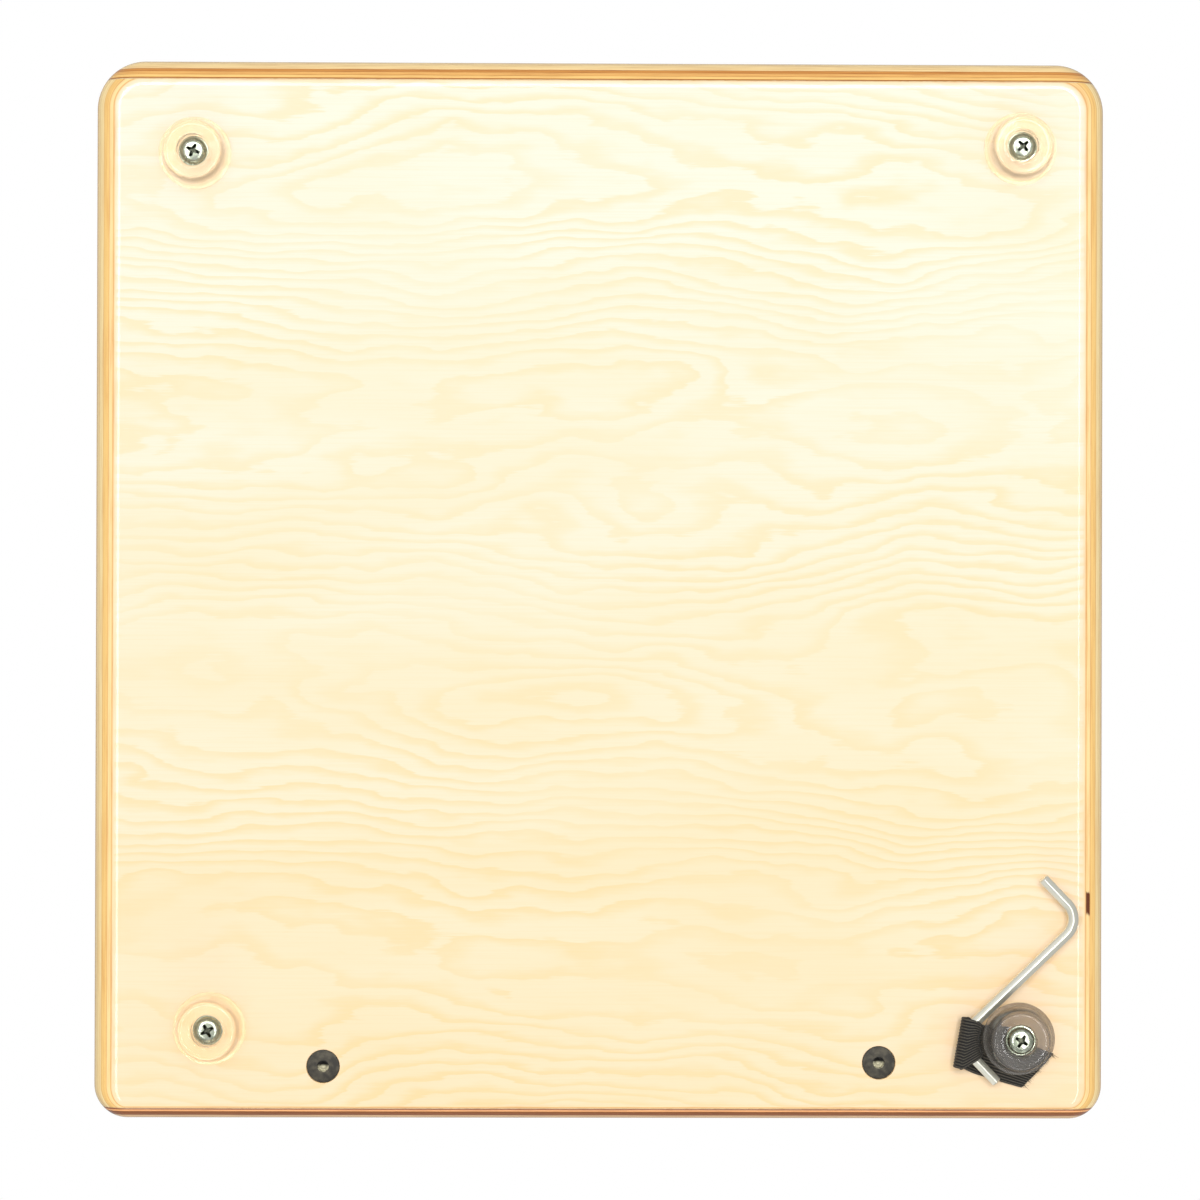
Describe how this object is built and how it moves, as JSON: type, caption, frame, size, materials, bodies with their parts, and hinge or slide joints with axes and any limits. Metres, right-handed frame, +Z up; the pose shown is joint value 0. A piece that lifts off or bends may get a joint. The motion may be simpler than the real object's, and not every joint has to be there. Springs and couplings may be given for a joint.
{
  "type": "cajon",
  "caption": "Box drum with a thin playing plate, rear sound hole, rubber feet, tunable snare strings, and a hex key in an elastic loop below.",
  "frame": {"origin": "centre of the footprint, on the floor under the feet", "axes": "+Z up, -Y out of the playing plate, +X to the right as seen from the front"},
  "size_m": [0.3, 0.3144, 0.48],
  "materials": {
    "birch_board": "birch plywood, clear gloss lacquer",
    "front_plate_wood": "thin plywood, reddish brown face, satin lacquer",
    "back_plate_wood": "thin plywood, satin lacquer",
    "pine_batten": "planed, unfinished",
    "clear_rubber": "clear, slightly milky soft plastic",
    "zinc": "bright zinc plate",
    "black_oxide": "black oxide",
    "string_steel": "plain steel wire",
    "black_elastic": "ribbed woven elastic"
  },
  "bodies": {
    "box": {"bottom_panel": "birch_board", "seat_panel": "birch_board", "left_side_panel": "birch_board", "right_side_panel": "birch_board", "front_plate": "front_plate_wood", "back_panel": "back_plate_wood", "front_bottom_batten": "pine_batten", "front_top_batten": "pine_batten", "front_left_batten": "pine_batten", "front_right_batten": "pine_batten", "foot_back_right": "clear_rubber", "foot_washer_back_right": "zinc", "foot_screw_back_right": "zinc", "foot_back_left": "clear_rubber", "foot_washer_back_left": "zinc", "foot_screw_back_left": "zinc", "foot_front_right": "clear_rubber", "foot_washer_front_right": "zinc", "foot_screw_front_right": "zinc", "foot_front_left": "clear_rubber", "foot_washer_front_left": "zinc", "foot_screw_front_left": "zinc", "string_left_outer": "string_steel", "string_post_left_outer": "zinc", "string_left_inner": "string_steel", "string_post_left_inner": "zinc", "string_right_outer": "string_steel", "string_post_right_outer": "zinc", "string_right_inner": "string_steel", "string_post_right_inner": "zinc", "elastic_loop": "black_elastic"},
    "hex_key": {"hex_key": "zinc"},
    "string_anchor_left": {"string_anchor_left": "zinc"},
    "string_anchor_right": {"string_anchor_right": "zinc"},
    "tension_screw_left": {"tension_screw_left": "black_oxide"},
    "tension_screw_right": {"tension_screw_right": "black_oxide"}
  },
  "joints": [
    {"name": "string_anchor_left_draw", "type": "slide", "parent": "box", "child": "string_anchor_left", "axis": [0, 0, -1], "range_m": [-0.0024, 0.0024], "deforming": ["string_left_outer", "string_left_inner"]},
    {"name": "tension_screw_left_turn", "type": "hinge", "parent": "box", "child": "tension_screw_left", "pos_m": [-0.083, -0.1399, 0.0112], "axis": [0, 0, -1], "range_deg": [-1085, 1085]},
    {"name": "string_anchor_right_draw", "type": "slide", "parent": "box", "child": "string_anchor_right", "axis": [0, 0, -1], "range_m": [-0.0024, 0.0024], "deforming": ["string_right_outer", "string_right_inner"]},
    {"name": "tension_screw_right_turn", "type": "hinge", "parent": "box", "child": "tension_screw_right", "pos_m": [0.0816, -0.1412, 0.0112], "axis": [0, 0, -1], "range_deg": [-1085, 1085]},
    {"name": "key_draw", "type": "slide", "parent": "box", "child": "hex_key", "axis": [0.6921, 0.7218, 0], "range_m": [0, 0.045], "deforming": ["elastic_loop"]}
  ],
  "couplings": [
    {"joint": "tension_screw_left_turn", "follows": "string_anchor_left_draw", "rad_per_m": 7854},
    {"joint": "tension_screw_right_turn", "follows": "string_anchor_right_draw", "rad_per_m": 7854}
  ]
}
